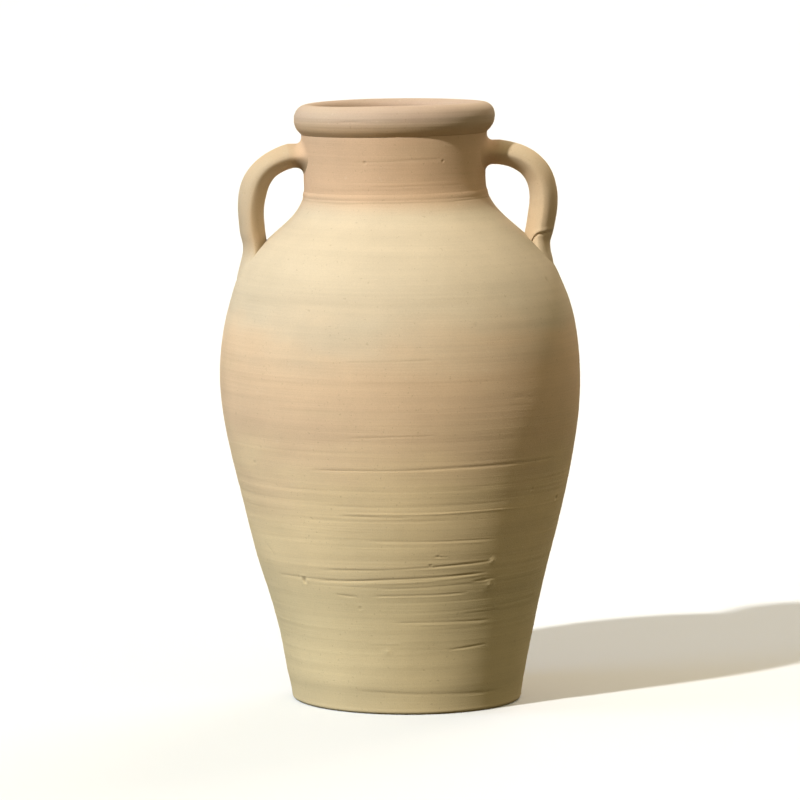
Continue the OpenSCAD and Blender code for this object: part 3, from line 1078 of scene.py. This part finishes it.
class AMPHORA_OT_neck(bpy.types.Operator):
    """The neck and the thin coil pressed into its seam"""

    bl_idname = "amphora.neck"
    bl_label = "Neck and luting coil"

    def execute(self, context):
        form, relief = turned_form(), relief_of_jar()
        mesh = ring_of_wall("neck", form.neck_low, form.rim_low + RIM_LIFT, form, relief)
        add_piece("neck_thrown", mesh, wall_clay(), "neck_clay", "neck")
        mesh = grid_mesh("neck_band", lean(rows_to_grid(self.coil(form, relief))), ring=True)
        add_piece("neck_luting_coil", mesh, wall_clay(), "neck_clay", "neck_band")
        return {"FINISHED"}

    @staticmethod
    def coil(form, relief):
        """The coil's soft outer swell, then its back inside the wall."""
        low, high = (corner.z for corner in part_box("neck_band"))
        rows = []
        for share in np.linspace(0, 1, 15):
            radius, height = outer_row(form, relief, low + (high - low) * share)
            proud = 0.9 * MM * math.sin(math.pi * share) ** 1.5 - 0.35 * MM
            rows.append((radius + proud * (1 + 0.3 * relief.strength(turns(), height)), height))
        for share in np.linspace(0.9, 0.1, 5):
            z = low + (high - low) * share
            rows.append((np.full(AROUND, form.out(z) - COIL_DEPTH), np.full(AROUND, z)))
        return rows


class AMPHORA_OT_rim(bpy.types.Operator):
    """The thick rolled rim"""

    bl_idname = "amphora.rim"
    bl_label = "Rim"

    def execute(self, context):
        form, relief = turned_form(), relief_of_jar()
        middle_r, middle_z = (form.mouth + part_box("rim")[1].x) / 2, (form.rim_low + form.rim_high) / 2
        rows = []
        for a, reach in zip(*self.section(form, middle_r, middle_z)):
            z = self.tuck_under(form, middle_z + reach * math.sin(a))
            rows.append(self.row(form, relief, middle_r + reach * math.cos(a), z, a))
        mesh = grid_mesh("rim", lean(rows_to_grid(rows)), ring=True)
        add_piece("rim_rolled", mesh, rim_clay(), "rim_clay", "rim")
        return {"FINISHED"}

    @staticmethod
    def section(form, middle_r, middle_z):
        """Angles round the roll's middle and how far it reaches at each, softened except where it joins."""
        corner = math.atan2(form.rim_low - middle_z, form.mouth - middle_r)
        angles = np.sort(np.append(np.linspace(-math.pi, math.pi, AROUND_ROLL, endpoint=False), corner))
        middle = (0, -middle_r, middle_z)
        reach = np.array([cast(("rim",), middle, (0, -math.cos(a), math.sin(a))) for a in angles])
        weights = np.hanning(9) / np.hanning(9).sum()
        soft = np.convolve(np.pad(reach, 4, mode="wrap"), weights, "valid")
        joint = (np.sin(angles) < 0) & (np.cos(angles) < 0.25)
        return angles, np.where(joint, reach, soft)

    @staticmethod
    def tuck_under(form, z):
        """Lifts the lower edge of the roll, so that it turns in sharply over the neck."""
        full = form.rim_high - 14 * MM
        drop = full - form.rim_low
        return z if z > full else full - (full - z) * (drop - RIM_LIFT) / drop

    @staticmethod
    def row(form, relief, radius, z, a):
        """One row of the rim, with hand wander, faint turning lines and a short dent in front."""
        turn = turns()
        outside = max(math.cos(a), 0.0)
        height = np.full(AROUND, z)
        drift = relief.hand(turn, np.full(AROUND, form.rim_low))
        broad = np.sin(z / MM * 0.9 + 0.8 * np.sin(turn))
        fine = 0.5 * np.sin(z / MM * 2.3 + np.sin(2 * turn))
        lines = 0.07 * MM * (broad + fine)
        along = turn_from(turn, math.radians(-25)) / math.radians(7)
        dent = 0.4 * MM * np.exp(-along ** 2) * np.exp(-((z / MM - 585.5) / 0.9) ** 2)
        rise = 0.8 * MM * relief.tilt(turn, height * 0) * smooth_step(form.rim_low, form.rim_high, z)
        return radius + drift + outside * (lines - dent), height + rise


def add_to_straps(part, finish, rings_of):
    """Adds a piece to the left and the right strap. rings_of(strap) gives the piece's rings."""
    for side, hand in ((-1, "left_handle"), (1, "right_handle")):
        strap = Strap(turned_form(), relief_of_jar(), side)
        name = hand + part
        add_piece(name + finish, strap.mesh(name, rings_of(strap)), strap_clay(), "handle_clay", name)


class AMPHORA_OT_handles(bpy.types.Operator):
    """The two pulled straps"""

    bl_idname = "amphora.handles"
    bl_label = "Straps"

    def execute(self, context):
        add_to_straps("", "_strap", Strap.strap_rings)
        return {"FINISHED"}


class AMPHORA_OT_handle_roots(bpy.types.Operator):
    """Clay worked round the upper end of each strap, on the neck"""

    bl_idname = "amphora.handle_roots"
    bl_label = "Strap roots"

    def execute(self, context):
        add_to_straps("_root", "_luted", Strap.root_rings)
        return {"FINISHED"}


class AMPHORA_OT_handle_pads(bpy.types.Operator):
    """Clay pressed on at the lower end of each strap, on the shoulder"""

    bl_idname = "amphora.handle_pads"
    bl_label = "Strap pads"

    def execute(self, context):
        add_to_straps("_pad", "_pressed", Strap.pad_rings)
        return {"FINISHED"}


# Angles in degrees: round to the right of the camera, up from the floor, and how wide the lamp looks.
Lamp = namedtuple("Lamp", "turn rise softness tint")
SIDE_LAMP = Lamp(-80, 22, 25, (0.25, 0.56, 1.0))
BACK_LAMP = Lamp(155, 35, 35, (1.0, 0.80, 0.70))


class AMPHORA_OT_stage(bpy.types.Operator):
    """The pale floor and backdrop, three lamps, soft light from above, and the camera"""

    bl_idname = "amphora.stage"
    bl_label = "Stage"

    def execute(self, context):
        scene = context.scene
        s = stage_settings()
        self.floor(scene, s)
        self.backdrop(scene, s)
        self.world(scene, s)
        key = Lamp(-math.degrees(s.key_turn), math.degrees(s.key_rise), 2.2, (1.0, 0.955, 0.89))
        self.lamp(scene, "key_lamp", s.key_strength, key)
        self.lamp(scene, "side_lamp", s.side_strength, SIDE_LAMP)
        self.lamp(scene, "back_lamp", s.back_strength, BACK_LAMP)
        self.camera(scene, s)
        scene.view_settings.view_transform = "Standard"
        return {"FINISHED"}

    @staticmethod
    def stand(scene, name, builder, material):
        """Puts up a stage object with the mesh that the bmesh builder holds."""
        mesh = bpy.data.meshes.new(name)
        builder.to_mesh(mesh)
        builder.free()
        mesh.materials.append(material)
        thing = bpy.data.objects.new(name, mesh)
        scene.collection.objects.link(thing)
        return thing

    def floor(self, scene, s):
        """A pale floor, which is seen and takes the shadow but throws no light back at the jar."""
        material = bpy.data.materials.new("floor_paint")
        t = Tree(material)
        coords = t.add("ShaderNodeTexCoord").outputs["Object"]
        shader = t.add("ShaderNodeBsdfPrincipled")
        tint = t.blend(t.noise(coords, scale=3.0), tuple(s.floor), tuple(v * 0.985 for v in s.floor))
        t.join(tint, shader.inputs["Base Color"])
        shader.inputs["Roughness"].default_value = 0.9
        shader.inputs["Specular IOR Level"].default_value = 0.1
        t.join(shader.outputs["BSDF"], t.add("ShaderNodeOutputMaterial").inputs["Surface"])
        disc = bmesh.new()
        bmesh.ops.create_circle(disc, cap_ends=True, segments=96, radius=FLOOR_RADIUS)
        self.stand(scene, "floor", disc, material).visible_diffuse = False

    def backdrop(self, scene, s):
        """A pale dome round the floor, which is seen but sheds no light."""
        material = bpy.data.materials.new("backdrop_paint")
        t = Tree(material)
        glow = t.add("ShaderNodeEmission")
        glow.inputs["Color"].default_value = (*s.backdrop, 1.0)
        t.join(glow.outputs["Emission"], t.add("ShaderNodeOutputMaterial").inputs["Surface"])
        sphere = bmesh.new()
        bmesh.ops.create_uvsphere(sphere, u_segments=96, v_segments=48, radius=FLOOR_RADIUS)
        bmesh.ops.reverse_faces(sphere, faces=sphere.faces)
        dome = self.stand(scene, "backdrop", sphere, material)
        dome.visible_diffuse = dome.visible_glossy = dome.visible_shadow = False

    @staticmethod
    def world(scene, s):
        """Soft light that is strong from above and nearly nothing from below."""
        sky = bpy.data.worlds.new("studio")
        t = Tree(sky)
        way = t.add("ShaderNodeTexCoord").outputs["Generated"]
        tint = t.blend(t.spread(t.height(way), -0.25, 0.45), tuple(s.below), tuple(s.above))
        glow = t.add("ShaderNodeBackground")
        t.join(tint, glow.inputs["Color"])
        t.join(glow.outputs["Background"], t.add("ShaderNodeOutputWorld").inputs["Surface"])
        scene.world = sky

    @staticmethod
    def lamp(scene, name, strength, lamp):
        """A far lamp, turned round to the right of the camera and raised above the floor."""
        light = bpy.data.lights.new(name, "SUN")
        light.energy = strength
        light.color = lamp.tint
        light.angle = math.radians(lamp.softness)
        turn, rise = math.radians(lamp.turn), math.radians(lamp.rise)
        holder = bpy.data.objects.new(name, light)
        towards = Vector((math.sin(turn) * math.cos(rise), -math.cos(turn) * math.cos(rise), math.sin(rise)))
        holder.location = towards * 3
        holder.rotation_mode = "QUATERNION"
        holder.rotation_quaternion = towards.to_track_quat("Z", "Y")
        scene.collection.objects.link(holder)

    @staticmethod
    def camera(scene, s):
        """A long lens a little left of the jar's axis, looking slightly down."""
        lens = bpy.data.cameras.new("camera")
        lens.lens = s.lens
        lens.sensor_width = 36
        lens.clip_end = 4 * FLOOR_RADIUS
        holder = bpy.data.objects.new("camera", lens)
        aim = Vector((-s.aim_left, 0, HEIGHT / 2 + s.aim_up))
        holder.location = Vector((-s.aim_left, -s.camera_back, s.camera_up))
        holder.rotation_mode = "QUATERNION"
        holder.rotation_quaternion = (holder.location - aim).to_track_quat("Z", "Y")
        scene.collection.objects.link(holder)
        scene.camera = holder


class AMPHORA_PT_sidebar(bpy.types.Panel):
    """Lists the jar's pieces, sizes and colours"""

    bl_idname = "AMPHORA_PT_sidebar"
    bl_label = "Clay amphora"
    bl_space_type = "VIEW_3D"
    bl_region_type = "UI"
    bl_category = "Amphora"

    def draw(self, context):
        layout = self.layout
        for step in STEPS:
            layout.operator("amphora." + step)
        for settings in (shape(), clay(), stage_settings()):
            column = layout.box().column()
            for key in settings.bl_rna.properties.keys():
                if key not in ("rna_type", "name"):
                    column.prop(settings, key)


STEPS = ("stage", "base_floor", "thrown_walls", "neck", "rim", "handles", "handle_roots", "handle_pads")
GROUPS = (AmphoraShape, AmphoraClay, AmphoraStage)
CLASSES = GROUPS + (
    AMPHORA_OT_base_floor, AMPHORA_OT_thrown_walls, AMPHORA_OT_neck, AMPHORA_OT_rim, AMPHORA_OT_handles,
    AMPHORA_OT_handle_roots, AMPHORA_OT_handle_pads, AMPHORA_OT_stage, AMPHORA_PT_sidebar)


def register():
    for cls in CLASSES:
        bpy.utils.register_class(cls)
    bpy.types.Scene.amphora_shape = PointerProperty(type=AmphoraShape)
    bpy.types.Scene.amphora_clay = PointerProperty(type=AmphoraClay)
    bpy.types.Scene.amphora_stage = PointerProperty(type=AmphoraStage)


def unregister():
    del bpy.types.Scene.amphora_stage
    del bpy.types.Scene.amphora_clay
    del bpy.types.Scene.amphora_shape
    for cls in reversed(CLASSES):
        bpy.utils.unregister_class(cls)


def main():
    register()
    for step in STEPS:
        getattr(bpy.ops.amphora, step)()


if __name__ == "__main__":
    main()
